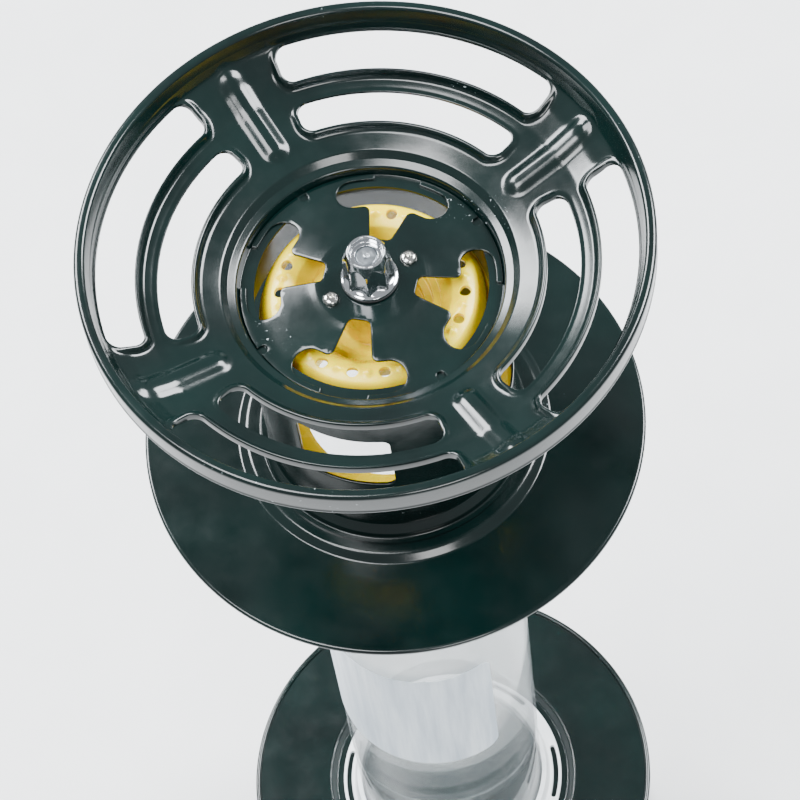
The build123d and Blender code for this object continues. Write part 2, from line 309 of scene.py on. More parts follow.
def slotted_flange(sizes):
    """Dished pressing: rim wall with a rolled edge, bowl with slots, lips and ribs, and a stepped recess."""
    half = sizes.sheet / MM / 2
    wall = [(RIM - 1.07, -12.9), (RIM - 0.8, -half), (RIM - 5.0, -half), (143.3, -8.0)]
    bowl = [(141.0, -14.5), (131.0, -22.3), (118.6, -28.0), (90.0, -35.0), (79.0, -38.2)]
    ledge = LEDGE + half
    recess = [(75.6, -41.8), (71.4, -43.2), (70.2, ledge), (62.0, ledge)]
    radii = [1.6, 1.6, 5.0, 6.0, 14.0, 14.0, 14.0, 2.2, 1.8, 1.4, 1.2]
    line = rounded(wall + bowl + recess, radii, step=9.0)
    top, under = sided(line, -half), sided(line, half)
    rim_top, rest_top = split(top, WEB[2])
    rim_under, rest_under = split(under, WEB[2])
    web_top, recess_top = split(rest_top, WEB[0])
    web_under, recess_under = split(rest_under, WEB[0])
    roll = arc((RIM - 1.7, -14.9), 1.7, 36, -266, 22)
    around = repeated(SLOT_ANGLES, CUTOUT)
    patches = [
        (turned(np.concatenate([rim_top[::-1], roll, rim_under]), around), False, True),
        (turned(np.concatenate([recess_top, recess_under[::-1]]), around), False, True)]
    away, share = np.array(LIP).T
    rows, rows_under = 12, 4
    for (low, high), (inner, outer), crest in SLOTS.values():
        middle = (inner + outer) / 2
        across = np.radians(SLOT_ANGLES) * middle
        up = np.linspace(low, high, 19)
        size = (radians(SLOT_HALF_TURN) * middle, (outer - inner) / 2)
        x, y = hole_cell(across, up, middle, size, SLOT_CORNER, away, rows)
        lift = np.concatenate([share, np.zeros(rows)])[:, None]
        base = height_at(web_top, y)
        off_spoke = y * (radians(QUARTER / 2) - np.abs(x) / middle)
        lip_top = np.interp(y, (inner, outer), crest)
        over = base + (lip_top - base) * lift + rib_lift(sizes, off_spoke, y)
        bx, by = hole_cell(across, up, middle, size, SLOT_CORNER, (0.0, 1.0), rows_under)
        below = height_at(web_under, by)
        over[0] = below[0]
        for k in range(SPOKES):
            facing = CUTOUT + k * QUARTER
            grid = np.concatenate([wrapped(bx, by, below, middle, facing)[::-1],
                                   wrapped(x, y, over, middle, facing)[1:]])
            patches.append((grid, False, True))
    return patches


def inner_flange(sizes, closed):
    """Solid disc with a raised middle and a rolled edge; its middle is open for the tube, or closed."""
    half = sizes.sheet / MM / 2
    raised, face = FLANGE_TOP - half, FLANGE_TOP - 4.0 - half
    middle = 0.0 if closed else 70.3
    line = rounded([(middle, raised), (84.0, raised), (88.5, face), (INNER_RIM - 3.7, face)], [3.5, 3.5],
                   step=8)
    roll = arc((INNER_RIM - 1.8, face - 1.0), 1.8, 92, -188, 20)
    section = np.concatenate([sided(line, half), roll, sided(line, -half)[::-1]])
    return [(turned(dense(section, 9.0), evenly(240)), not closed, True)]


def drum(sizes):
    """Sheet drum with four rounded windows and a flared foot that is folded over the inner flange."""
    half, reference, rows = sizes.sheet / MM / 2, 71.0, 7
    wall, foot = reference - half, DRUM_FOOT + half
    line = rounded([(wall, LEDGE), (wall, -186.0), (74.5, -191.5), (74.5, foot), (78.5, foot)],
                   [4.0, 3.0, 2.0], step=10)
    line = dense(line, 12.0)
    outside, inside = sided(line, half), sided(line, -half)
    band = (-150.0, -80.0)
    upper_out, rest_out = split(outside, band[1], 1)
    upper_in, rest_in = split(inside, band[1], 1)
    lower_out, lower_in = split(rest_out, band[0], 1)[1], split(rest_in, band[0], 1)[1]
    angles = np.concatenate([np.arange(-45, -27, 3.0), np.arange(-27, 27, 1.5), np.arange(27, 46, 3.0)])
    around = repeated(angles, WINDOW)
    patches = [(turned(np.concatenate([upper_in[::-1], upper_out]), around), False, True),
               (turned(np.concatenate([lower_out, lower_in[::-1]]), around), False, True)]
    away, drop = np.array([(0.0, 0.28), (0.1, 0.08), (0.35, 0.0)]).T
    x, y = hole_cell(np.radians(angles) * reference, np.linspace(*band, 29), -114.0,
                     (radians(21.5) * reference, 24.0), 5.0, away, rows)
    drop = np.concatenate([drop, np.zeros(rows)])[:, None]
    for k in range(SPOKES):
        a = radians(WINDOW + k * QUARTER) + x / reference
        skins = [np.stack([r * np.cos(a), r * np.sin(a), y], axis=-1)
                 for r in (reference - 2 * half + drop, reference - drop)]
        patches.append((np.concatenate([skins[0][::-1], skins[1]]), False, True))
    return patches


def plate_outline():
    """Rim of the centre plate: four anchor-shaped bays, their mouths, and a narrow notch on each spoke."""
    bay, lobe, fluke = 57.0, 22.0, 9.0      # radius of the bay's middle line, half its turn, half its width
    mouth, notch, bottom = 12.5, 2.3, 64.5  # half widths of the mouth and the notch, radius of its bottom
    far = bay + fluke
    lobe_middle = bay * np.array([np.cos(radians(lobe)), np.sin(radians(lobe))])
    stem = rounded([(24.8, 0.0), (24.8, 5.6), (46.6, 10.8), arc((0, 0), bay - fluke, lobe, lobe, 1)[0]],
                   [4.8, 4.2], step=9)
    end = arc(lobe_middle, fluke, lobe + 180, lobe, 21)[1:-1]
    lip = arc((0, 0), far, lobe, degrees(np.arcsin(mouth / far)) + 1.0, 8)
    corner = np.array([np.sqrt(PLATE_RIM ** 2 - mouth ** 2), mouth])
    inner_corner = np.array([np.sqrt(far ** 2 - mouth ** 2), mouth])
    turn = rounded([lip[-1], inner_corner, corner, arc((0, 0), PLATE_RIM, 12.0, 12.0, 1)[0]], [0.5, 0.7],
                   step=30)
    rim = arc((0, 0), PLATE_RIM, 13.0, 41.8, 16)
    spoke = radians(QUARTER / 2)
    along = np.array([np.cos(spoke), np.sin(spoke)])
    beside = np.array([np.sin(spoke), -np.cos(spoke)]) * notch
    edge = along * np.sqrt(PLATE_RIM ** 2 - notch ** 2) + beside
    slot_side = rounded([rim[-1], edge, along * (bottom + notch) + beside], [0.7], step=30)
    u_end = arc(along * (bottom + notch), notch, degrees(spoke) - 90, degrees(spoke) - 180, 8)[1:]
    half = np.concatenate([stem, end, lip[:-1], turn[:-1], rim[:-1], slot_side, u_end])
    quarter = np.concatenate([half[:0:-1] * (1, -1), half[:-1]])
    loop = []
    for k in range(SPOKES):
        a = radians(CUTOUT + k * QUARTER)
        loop.append(quarter @ np.array([[np.cos(a), np.sin(a)], [-np.sin(a), np.cos(a)]]))
    return dense(np.concatenate(loop + [loop[0][:1]]), 1.6)[:-1]


def inside(points, loops):
    """Whether each point lies inside the loops, by the number of edges that a ray along +X crosses."""
    crossings = np.zeros(len(points), int)
    for loop in loops:
        (x0, y0), (x1, y1) = loop.T, np.roll(loop, -1, 0).T
        px, py = points[:, 0, None], points[:, 1, None]
        spans = (y0 > py) != (y1 > py)
        with np.errstate(divide="ignore", invalid="ignore"):
            crosses = px < x0 + (py - y0) * (x1 - x0) / (y1 - y0)
        crossings += (spans & crosses).sum(axis=1)
    return crossings % 2 == 1


def screw_spots():
    """Middles of the two plate screws, on opposite sides of the axis."""
    return [SCREWS_AT * np.array([np.cos(a), np.sin(a), 0]) for a in np.radians((SCREW, SCREW + 180))]


def centre_plate(sizes):
    """Pressed plate: a flat boss, a cone and a flat edge, triangulated between its rims and rings of points.

    Each rim is three loops, stepped into the sheet, that round its edge over; the height of every other
    point is the turned section's height at its radius. Walls join the open sides of the two faces.
    """
    loops = [plate_outline(), arc((0, 0), 8.3, 360, 5, 72)]
    loops += [arc(spot[:2], 2.3, 360, 15, 24) for spot in screw_spots()]
    steps = ((0.0, 0.32), (0.11, 0.1), (0.36, 0.0))     # how far into the sheet, and how far down
    rims = [(sided(loop, inset, closed=True), drop) for loop in loops for inset, drop in steps]
    radii = np.concatenate([np.linspace(10, 28.6, 9), [29.4, 30.0, 30.6, 31.3, 32.1, 33.2],
                            np.linspace(35, 68.4, 18)])
    r, a = np.meshgrid(radii, np.radians(np.arange(0, 360, 3.0)))
    field = np.stack([(r * np.cos(a)).ravel(), (r * np.sin(a)).ravel()], axis=1)
    rim_points = np.concatenate([rim for rim, _ in rims])
    clear = np.linalg.norm(field[:, None] - rim_points[None], axis=2).min(axis=1) > 0.8
    field = field[clear & inside(field, loops)]
    flat = np.concatenate([rim_points, field])
    ends = np.cumsum([0] + [len(rim) for rim, _ in rims])
    edges = [np.stack([np.arange(start, end), np.roll(np.arange(start, end), -1)], axis=1)
             for start, end in zip(ends, ends[1:])]
    found = delaunay_2d_cdt([Vector(p) for p in flat], np.concatenate(edges).tolist(), [], 0, 1e-5)
    plan = np.array([tuple(p) for p in found[0]])
    triangles = np.array(found[2])
    # A point where two rims cross has no source of its own, and takes the height step of the nearest one
    origin = np.array([ids[0] if ids else np.linalg.norm(flat - tuple(p), axis=1).argmin()
                       for p, ids in zip(found[0], found[3])])
    triangles = triangles[inside(plan[triangles].mean(axis=1), loops)]
    drop = np.concatenate([np.full(len(rim), d) for rim, d in rims] + [np.zeros(len(field))])[origin]
    top = PLATE_TOP
    section = rounded([(0.0, top), (28.6, top), (33.0, top - 1.0), (61.0, top - 5.8), (80.0, top - 5.8)],
                      [4.5, 6.0, 9.0], step=4)
    height = np.interp(np.linalg.norm(plan, axis=1), section[:, 0], section[:, 1])
    thick = sizes.sheet / MM
    points = np.concatenate([np.c_[plan, height - drop], np.c_[plan, height - thick + 0.6 * drop]])
    under = triangles[:, ::-1] + len(plan)
    sides = np.concatenate([triangles[:, pair] for pair in ((0, 1), (1, 2), (2, 0))])
    _, first, uses = np.unique(np.sort(sides, axis=1), axis=0, return_index=True, return_counts=True)
    one, two = sides[first[uses == 1]].T
    walls = [np.stack([two, one, one + len(plan)], axis=1),
             np.stack([two, one + len(plan), two + len(plan)], axis=1)]
    return points, np.concatenate([triangles, under] + walls)


def plate_screw():
    """Pan head with a six-lobe socket: rows follow the lobe line r = s (1 + 0.16 cos 6a) near the socket."""
    a = np.radians(evenly(72))
    lobe = 1.75 * (1 + 0.16 * np.cos(6 * a))
    crown = PLATE_TOP + 2.75
    ring = np.ones_like(a)
    rows = [(0 * ring, crown - 1.9), (0.96 * lobe, crown - 1.9), (lobe, crown - 1.8), (lobe, crown - 0.12),
            (lobe + 0.14, crown - 0.02), (2.6 * ring, crown - 0.12)]
    edge = rounded([(2.6, crown - 0.12), (3.5, crown - 0.5), (4.25, crown - 1.5), (4.4, PLATE_TOP),
                    (1.9, PLATE_TOP), (1.9, PLATE_TOP - 12.0), (0.0, PLATE_TOP - 12.0)],
                   [1.6, 1.2, 0.2, 0, 0.3])
    rows += [(r * ring, z) for r, z in edge[1:]]
    return np.stack([np.stack([r * np.cos(a), r * np.sin(a), z + 0 * a], axis=-1) for r, z in rows])


def hub(sizes):
    """Moulded bell: a domed ring of holes and bumps, turned steps, and the bearing column in the middle."""
    dome = [(62.2, -75.0), (62.2, -72.0), (60.0, -72.0), (60.0, -64.0), (55.5, -55.5), (49.0, -53.0),
            (42.0, -56.5), (36.0, -64.0), (36.0, -67.0), (31.5, -67.0), (31.5, -71.0), (27.0, -71.0),
            (27.0, -75.0), (19.5, -75.0), (19.5, -42.6), (16.05, -42.6), (16.05, -55.1), (14.0, -55.1),
            (14.0, -99.0), (16.05, -99.0), (16.05, -110.5)]
    inner = [(19.5, -110.5), (19.5, -78.0), (29.5, -78.0), (29.5, -74.0), (34.0, -70.0), (38.0, -69.5),
             (44.0, -59.5), (49.0, -56.0), (53.0, -57.5), (57.0, -65.0), (57.0, -75.0)]
    dome_radii = [0.5, 0.5, 1.2, 5.0, 5.0, 6.0, 4.0, 1.0, 0.8, 0.6, 0.8, 0.6, 0.8, 1.5, 0.7, 0.4] + [0.2] * 4
    inner_radii = [0.4, 1.0, 1.0, 1.0, 2.0, 2.0, 3.0, 4.0, 3.0, 1.0, 0.5]
    section = rounded(dome + inner, dome_radii + [0.3] + inner_radii, closed=True, step=12)
    ring = (44.0, 54.0)
    section = np.roll(section, -int(np.argmax(section[:, 0])), axis=0)
    skin_end = int(np.argmin(section[:, 1]))
    over, below = section[:skin_end + 1], section[skin_end + 1:][::-1]
    below = np.concatenate([below, over[-1:]])
    rim_over, rest_over = split(over, ring[1])
    ring_over, mid_over = split(rest_over, ring[0])
    rim_below, rest_below = split(below, ring[1])
    ring_below, mid_below = split(rest_below, ring[0])
    half_sector = 180 / sizes.hub_holes
    angles = np.linspace(-half_sector, half_sector, 11)
    around = repeated(angles, CUTOUT)
    patches = [(turned(np.concatenate([rim_below[::-1], rim_over]), around), False, True),
               (turned(np.concatenate([mid_over, mid_below[:-1][::-1]]), around), False, True)]
    reference, hole, rows = 49.0, 3.0, 5
    away, drop = np.array([(0.0, 0.45), (0.15, 0.14), (0.5, 0.0)]).T
    x, y = hole_cell(np.radians(angles) * reference, np.linspace(*ring, 9), reference, (hole, hole), hole,
                     away, rows)
    drop = np.concatenate([drop, np.zeros(rows)])[:, None]
    beside = y * (radians(half_sector) - np.abs(x) / reference)
    bump = 1.5 * smooth((2.6 - np.hypot(beside, y - reference)) / 2.2)
    skin, back = height_at(ring_over, y) - drop + bump, height_at(ring_below, y) + drop
    for k in range(sizes.hub_holes):
        facing = CUTOUT + 2 * k * half_sector
        grid = np.concatenate([wrapped(x, y, back, reference, facing)[::-1],
                               wrapped(x, y, skin, reference, facing)])
        patches.append((grid, False, True))
    return patches


def tube_socket():
    """Moulded funnel inside the drum's foot, with a shoulder for the end of the clear tube."""
    corners = [(69.3, -158.0), (69.3, -195.8), (TUBE + 0.1, -195.8), (TUBE + 0.1, TUBE_TOP + 0.1),
               (60.0, TUBE_TOP + 0.1), (50.0, TUBE_TOP + 0.1), (48.0, -176.0), (48.0, -170.0), (50.5, -168.6),
               (62.0, -166.0), (66.8, -158.0)]
    section = rounded(corners, [0.6, 0.4, 0.3, 0.2, 0.5, 0.8, 0.8, 1.4, 2.0, 3.0, 0.9], closed=True)
    return [(turned(section, evenly(160)), True, True)]


def tube_collar(sizes):
    """White ring round the tube with oblong slots through its ledge."""
    low, high, rows = 71.8, 78.2, 3
    under, low_ledge, high_ledge = FLANGE_TOP - 1.5, FLANGE_TOP - 5.4, FLANGE_TOP - 4.1
    bore, end = TUBE + 0.15, under - 11.9
    outer = rounded([(high, under), (79.0, under), (79.0, high_ledge), (high, high_ledge)], [0.5, 0.5])
    sleeve = rounded([(low, low_ledge), (70.4, low_ledge - 0.4), (68.5, end), (bore, end), (bore, under),
                      (low, under)], [1.2, 0.6, 0.6, 0.4])
    angles = np.concatenate([np.arange(-30, -17, 3.0), np.arange(-17, 17, 1.0), np.arange(17, 19, 1.0),
                             np.arange(21, 31, 3.0)])
    around = repeated(angles, 0.0)
    patches = [(turned(outer, around), False, True), (turned(sleeve, around), False, True)]
    away, drop = np.array([(0.0, 0.4), (0.12, 0.12), (0.4, 0.0)]).T
    reference = 75.0
    half_slot = 1.8
    x, y = hole_cell(np.radians(angles) * reference, np.linspace(low, high, 9), reference,
                     (radians(14) * reference + half_slot, half_slot), half_slot, away, rows)
    drop = np.concatenate([drop, np.zeros(rows)])[:, None]
    front = np.interp(y, (low, high), (low_ledge, high_ledge)) + drop
    back = np.full_like(y, under)
    slots = 6
    for k in range(slots):
        facing = k * 360 / slots
        grid = np.concatenate([wrapped(x, y, back, reference, facing)[::-1],
                               wrapped(x, y, front, reference, facing)])
        patches.append((grid, False, True))
    return patches


def fluted_nut(sizes):
    """Turned nut, cut back to r = waist + (ridge - waist) t^2 across each flute, with t from -1 to 1."""
    foot, top = NUT_FOOT, NUT_TOP
    corners = [(6.05, foot), (15.0, foot), (15.0, foot + 1.5), (13.5, foot + 2.3), (12.75, top - 6.9),
               (10.3, top - 0.75), (9.7, top), (8.9, top), (8.3, top - 0.8), (8.3, top - 4.2),
               (6.05, top - 4.2)]
    section = rounded(corners, [0.3, 0.5, 0.5, 0.8, 0.5, 0.5, 0.35, 0.3, 0.3, 0.3, 0.2], closed=True)
    section = dense(np.concatenate([section, section[:1]]), 0.45)[:-1]
    count, columns_per_flute = sizes.nut_flutes, 20
    around = evenly(count * columns_per_flute)
    across = np.abs((around * count / 360 + 0.5) % 1 - 0.5) * 2
    r, z = section[:, 0, None], section[:, 1, None]
    ridge, waist = 13.35, sizes.nut_waist / MM
    flute = waist + (ridge - waist) * (1 - across) ** 2
    grip = (r > 9.8) & (z > foot + 2.2)
    depth = smooth((z - foot - 2.2) / 1.6)
    cut = np.where(grip, r - depth * np.maximum(0, r - flute), r)
    a = np.radians(around)
    return [(np.stack([cut * np.cos(a), cut * np.sin(a), z + 0 * a], axis=-1), True, True)]


def stub_axle():
    """Turned stub: centre-drilled nose, shoulder, retaining groove and a chamfered tail."""
    nose, seat, groove, tail = -18.0, -40.7, -109.0, -117.0
    line = rounded([(0.0, nose - 1.5), (1.3, nose - 0.2), (1.7, nose), (5.2, nose), (6.0, nose - 0.8),
                    (6.0, seat), (8.0, seat), (8.0, groove), (7.0, groove), (7.0, groove - 1.2),
                    (8.0, groove - 1.2), (8.0, tail + 1.0), (7.0, tail), (0.0, tail)],
                   [0.2, 0.15, 0.2, 0.2, 0.1, 0.2, 0.1, 0.1, 0.1, 0.1, 0.3, 0.3])
    return [(turned(line, evenly(72)), False, True)]


def washer():
    """Flat rubber ring between the nut and the centre plate."""
    foot = NUT_FOOT - 1.5
    section = rounded([(6.3, foot), (15.3, foot), (15.3, NUT_FOOT), (6.3, NUT_FOOT)], 0.45, closed=True)
    return [(turned(section, evenly(96)), True, True)]


def clear_tube(sizes):
    """Plain tube with rounded ends."""
    bore = TUBE - sizes.tube_wall / MM
    section = rounded([(bore, TUBE_FOOT), (TUBE, TUBE_FOOT), (TUBE, TUBE_TOP), (bore, TUBE_TOP)], 0.5,
                      closed=True)
    return [(turned(section, evenly(160)), True, True)]


def tube_label(sizes):
    """Sheet on the tube with corners of radius c: a row at height h < c starts in by c - sqrt(2 c h - h^2)."""
    first, last, corner = radians(168.0), radians(310.0), sizes.label_corner / MM
    rise = np.concatenate([corner * (1 - np.cos(np.radians(np.linspace(0, 90, 10)))),
                           np.linspace(corner, LABEL_TOP - LABEL_FOOT - corner, 30)[1:-1]])
    rise = np.concatenate([rise, LABEL_TOP - LABEL_FOOT - rise[:10][::-1]])
    near = np.minimum(rise, LABEL_TOP - LABEL_FOOT - rise)
    inset = corner - np.sqrt(np.maximum(0, corner ** 2 - np.maximum(0, corner - near) ** 2))
    share = np.linspace(0, 1, 81)
    start, end = first + inset[:, None] / TUBE, last - inset[:, None] / TUBE
    a = start + (end - start) * share
    z = LABEL_FOOT + rise[:, None] + 0 * a
    skins = [np.stack([r * np.cos(a), r * np.sin(a), z], axis=-1) for r in (TUBE + 0.02, TUBE + 0.24)]
    edges = [np.stack([skins[0][0], skins[1][0]]), np.stack([skins[0][-1], skins[1][-1]]),
             np.stack([skins[0][:, 0], skins[1][:, 0]]), np.stack([skins[0][:, -1], skins[1][:, -1]])]
    return [(grid, False, False) for grid in skins + edges]


# ---------------------------------------------------------------- finishes

def linear(colour):
    """Linear RGBA of an sRGB hex colour."""
    values = [int(colour[k:k + 2], 16) / 255 for k in (1, 3, 5)]
    return tuple(v / 12.92 if v <= 0.04045 else ((v + 0.055) / 1.055) ** 2.4 for v in values) + (1.0,)


def per(feature):
    """Texture scale that gives features of that size in millimetres on Object coordinates."""
    return 1 / (feature * MM)


def add_node(tree, kind, inputs=None, **settings):
    """Node with its settings; an input is a number, a colour or another node's socket to link."""
    node = tree.nodes.new(kind)
    for name, value in settings.items():
        setattr(node, name, value)
    for key, value in (inputs or {}).items():
        if isinstance(value, bpy.types.NodeSocket):
            tree.links.new(value, node.inputs[key])
        else:
            node.inputs[key].default_value = value
    return node


def new_material(name, base, **shader):
    """Material, its tree, its Principled shader with those sockets set, and the Object coordinates."""
    material = bpy.data.materials.new(name)
    material.use_nodes = True
    tree = material.node_tree
    surface = tree.nodes["Principled BSDF"]
    surface.inputs["Base Color"].default_value = base
    for key, value in shader.items():
        surface.inputs[key.replace("_", " ")].default_value = value
    place = add_node(tree, "ShaderNodeTexCoord").outputs["Object"]
    return material, tree, surface, place


def noise(tree, place, feature, detail=2.0, roughness=0.5):
    """Noise with features of that size in millimetres."""
    return add_node(tree, "ShaderNodeTexNoise", {"Vector": place, "Scale": per(feature), "Detail": detail,
                                                 "Roughness": roughness}).outputs["Fac"]


def ramp(tree, factor, stops):
    """Colour ramp through (position, colour) stops."""
    node = add_node(tree, "ShaderNodeValToRGB", {"Fac": factor})
    elements = node.color_ramp.elements
    while len(elements) < len(stops):
        elements.new(0.5)
    for element, (position, colour) in zip(elements, stops):
        element.position, element.color = position, colour
    return node.outputs["Color"]


def grey(value):
    """Colour with that value in all three channels."""
    return (value, value, value, 1.0)


def bumped(tree, surface, height, strength, distance):
    """Bump of that depth in millimetres on the shader's normal."""
    node = add_node(tree, "ShaderNodeBump",
                    {"Height": height, "Strength": strength, "Distance": distance * MM})
    tree.links.new(node.outputs["Normal"], surface.inputs["Normal"])


def powder_coated_steel(colours):
    """Gloss powder coat on steel: nearly black green, a soft orange-peel ripple and a few pale chips."""
    deep = tuple(colours.enamel)
    material, tree, surface, place = new_material("powder_coated_steel", deep, Roughness=0.2, IOR=1.52)
    tint = noise(tree, place, 55.0, 3.0)
    green = ramp(tree, tint, [(0.3, deep), (0.7, tuple(colours.enamel_light))])
    where = ramp(tree, noise(tree, place, 60.0, 1.0), [(0.66, grey(0)), (0.72, grey(1))])
    flecks = ramp(tree, noise(tree, place, 2.4, 4.0, 0.7), [(0.66, grey(0)), (0.7, grey(1))])
    chips = add_node(tree, "ShaderNodeMath", {0: where, 1: flecks}, operation="MULTIPLY").outputs[0]
    bare = linear("#b9c2c4")
    paint = add_node(tree, "ShaderNodeMix", {0: chips, 6: green, 7: bare}, data_type="RGBA").outputs[2]
    tree.links.new(paint, surface.inputs["Base Color"])
    haze = ramp(tree, noise(tree, place, 18.0, 4.0, 0.6), [(0.3, grey(0.13)), (0.75, grey(0.23))])
    tree.links.new(haze, surface.inputs["Roughness"])
    peel = noise(tree, place, 2.2, 1.0)
    bumped(tree, surface, peel, 0.35, 0.03)
    return "green_enamel", material


def moulded_plastic(colours):
    """Glossy moulded polypropylene: saturated yellow with slow flow marks and the mould's faint texture."""
    bright = tuple(colours.plastic)
    material, tree, surface, place = new_material("moulded_polypropylene", bright, Roughness=0.28, IOR=1.49,
                                                  Subsurface_Weight=0.2, Subsurface_Scale=0.008)
    flow = noise(tree, place, 22.0, 3.0)
    colour = ramp(tree, flow, [(0.3, tuple(colours.plastic_deep)), (0.6, bright)])
    tree.links.new(colour, surface.inputs["Base Color"])
    sheen = ramp(tree, noise(tree, place, 7.0, 2.0), [(0.35, grey(0.22)), (0.7, grey(0.36))])
    tree.links.new(sheen, surface.inputs["Roughness"])
    bumped(tree, surface, noise(tree, place, 0.9, 2.0), 0.25, 0.02)
    return "yellow_plastic", material


def chrome_plate(name, slot, tone):
    """Chrome on turned steel: a near mirror with a trace of polishing haze."""
    material, tree, surface, place = new_material(name, linear(tone), Metallic=1.0, Roughness=0.07)
    haze = ramp(tree, noise(tree, place, 3.0, 3.0), [(0.3, grey(0.04)), (0.75, grey(0.13))])
    tree.links.new(haze, surface.inputs["Roughness"])
    bumped(tree, surface, noise(tree, place, 1.4, 2.0), 0.12, 0.01)
    return slot, material


def turned_steel(name, slot, tone, pitch):
    """Turned or ground steel: dull grey, with rings round the axis. Real rings are finer than these."""
    material, tree, surface, place = new_material(name, linear(tone), Metallic=1.0, Roughness=0.36)
    rings = add_node(tree, "ShaderNodeTexWave",
                     {"Vector": place, "Scale": per(pitch) / 20, "Distortion": 0.4},
                     wave_type="RINGS", rings_direction="Z").outputs["Fac"]
    sheen = ramp(tree, noise(tree, place, 2.5, 3.0), [(0.3, grey(0.28)), (0.7, grey(0.46))])
    tree.links.new(sheen, surface.inputs["Roughness"])
    bumped(tree, surface, rings, 0.3, 0.02)
    return slot, material


def moulded_rubber():
    """Black nitrile rubber: matt, slightly grey where it is rubbed."""
    material, tree, surface, place = new_material("nitrile_rubber", linear("#141516"), Roughness=0.62,
                                                  IOR=1.52)
    colour = ramp(tree, noise(tree, place, 2.0, 3.0), [(0.35, linear("#0e0f10")), (0.75, linear("#222426"))])
    tree.links.new(colour, surface.inputs["Base Color"])
    bumped(tree, surface, noise(tree, place, 0.35, 2.0), 0.4, 0.03)
    return "black_rubber", material


def white_plastic():
    """White moulded ABS: cool white, satin, with slight mould marks."""
    material, tree, surface, place = new_material("white_abs", linear("#e9ecee"), Roughness=0.34, IOR=1.53)
    colour = ramp(tree, noise(tree, place, 14.0, 3.0), [(0.3, linear("#dde2e4")), (0.7, linear("#f1f3f4"))])
    tree.links.new(colour, surface.inputs["Base Color"])
    bumped(tree, surface, noise(tree, place, 0.8, 2.0), 0.2, 0.02)
    return "white_plastic", material


def clear_plastic(colours):
    """Extruded clear PVC: mostly seen through, slightly cool, with long faint draw lines."""
    tint = tuple(colours.tube)
    material, tree, surface, place = new_material("clear_pvc", tint, Roughness=0.05, IOR=1.46, Alpha=0.3,
                                                  Transmission_Weight=0.85)
    stretched = add_node(tree, "ShaderNodeMapping", {"Vector": place, "Scale": (1, 1, 0.04)}).outputs[0]
    lines = noise(tree, stretched, 6.0, 3.0)
    haze = ramp(tree, lines, [(0.35, grey(0.03)), (0.7, grey(0.11))])
    tree.links.new(haze, surface.inputs["Roughness"])
    cloudy = ramp(tree, lines, [(0.3, tint), (0.7, linear("#eef4f6"))])
    tree.links.new(cloudy, surface.inputs["Base Color"])
    bumped(tree, surface, lines, 0.2, 0.06)
    return "clear_tube", material


def label_paper():
    """Blank coated label paper: cool white, satin, with faint upright streaks where it has taken up damp."""
    material, tree, surface, place = new_material("coated_label_paper", linear("#cfd9e1"), Roughness=0.42,
                                                  IOR=1.45)
    stretched = add_node(tree, "ShaderNodeMapping", {"Vector": place, "Scale": (1, 1, 0.08)}).outputs[0]
    streaks = ramp(tree, noise(tree, stretched, 9.0, 3.0, 0.6),
                   [(0.3, linear("#aebcc8")), (0.7, linear("#dde6ec"))])
    tree.links.new(streaks, surface.inputs["Base Color"])
    bumped(tree, surface, noise(tree, place, 0.6, 3.0), 0.25, 0.02)
    return "blank_label", material


def pale_floor():
    """Matt pale seamless paper with an even, barely mottled surface."""
    material, tree, surface, place = new_material("seamless_paper", linear("#fafafa"), Roughness=0.85)
    mottle = ramp(tree, noise(tree, place, 60.0, 2.0), [(0.3, linear("#f8f8f8")), (0.7, linear("#fcfcfc"))])
    tree.links.new(mottle, surface.inputs["Base Color"])
    return material


# ---------------------------------------------------------------- add-on

class ReelSizes(PropertyGroup):
    """Sizes that a user may change; the others come from the frame."""
    sheet: FloatProperty(name="Sheet", description="Thickness of the pressed steel", default=1.5 * MM,
                         min=0.5 * MM, max=3 * MM, unit="LENGTH", precision=4)
    rib_height: FloatProperty(name="Rib height", description="Rise of the ribs on the spokes",
                              default=2.8 * MM, min=0, max=5 * MM, unit="LENGTH", precision=4)
    rib_width: FloatProperty(name="Rib width", description="Width of the ribs over their flanks",
                             default=17.5 * MM, min=8 * MM, max=20 * MM, unit="LENGTH", precision=4)
    hub_holes: IntProperty(name="Hub holes", description="Holes in the hub's ring", default=18, min=12,
                           max=24)
    nut_flutes: IntProperty(name="Flutes", description="Flutes round each nut", default=8, min=4, max=12)
    nut_waist: FloatProperty(name="Nut waist", description="Radius at the bottom of a flute",
                             default=11.3 * MM, min=9 * MM, max=13 * MM, unit="LENGTH", precision=4)
    tube_wall: FloatProperty(name="Tube wall", description="Wall of the clear tube", default=2 * MM,
                             min=0.5 * MM, max=4 * MM, unit="LENGTH", precision=4)
    label_corner: FloatProperty(name="Label corner", description="Radius of the label's corners",
                                default=9 * MM, min=1 * MM, max=20 * MM, unit="LENGTH", precision=4)


def colour_property(name, description, colour):
    """Colour setting with its default given as sRGB hex."""
    return FloatVectorProperty(name=name, description=description, subtype="COLOR", size=4, min=0, max=1,
                               default=linear(colour))


class ReelColours(PropertyGroup):
    """Colours of the finishes."""
    enamel: colour_property("Enamel", "Powder coat where it is deepest", "#020e0d")
    enamel_light: colour_property("Enamel, light", "Powder coat where it is thin", "#041816")
    plastic: colour_property("Plastic", "Moulded hub and socket", "#f6d900")
    plastic_deep: colour_property("Plastic, deep", "Flow marks in the mouldings", "#eecb00")
    tube: colour_property("Tube", "Tint of the clear tube", "#dfe9ec")


class ReelOperator:
    """What the operators share."""
    bl_options = {"REGISTER", "UNDO"}

    def settings(self, context):
        return context.scene.reel_sizes, context.scene.reel_colours


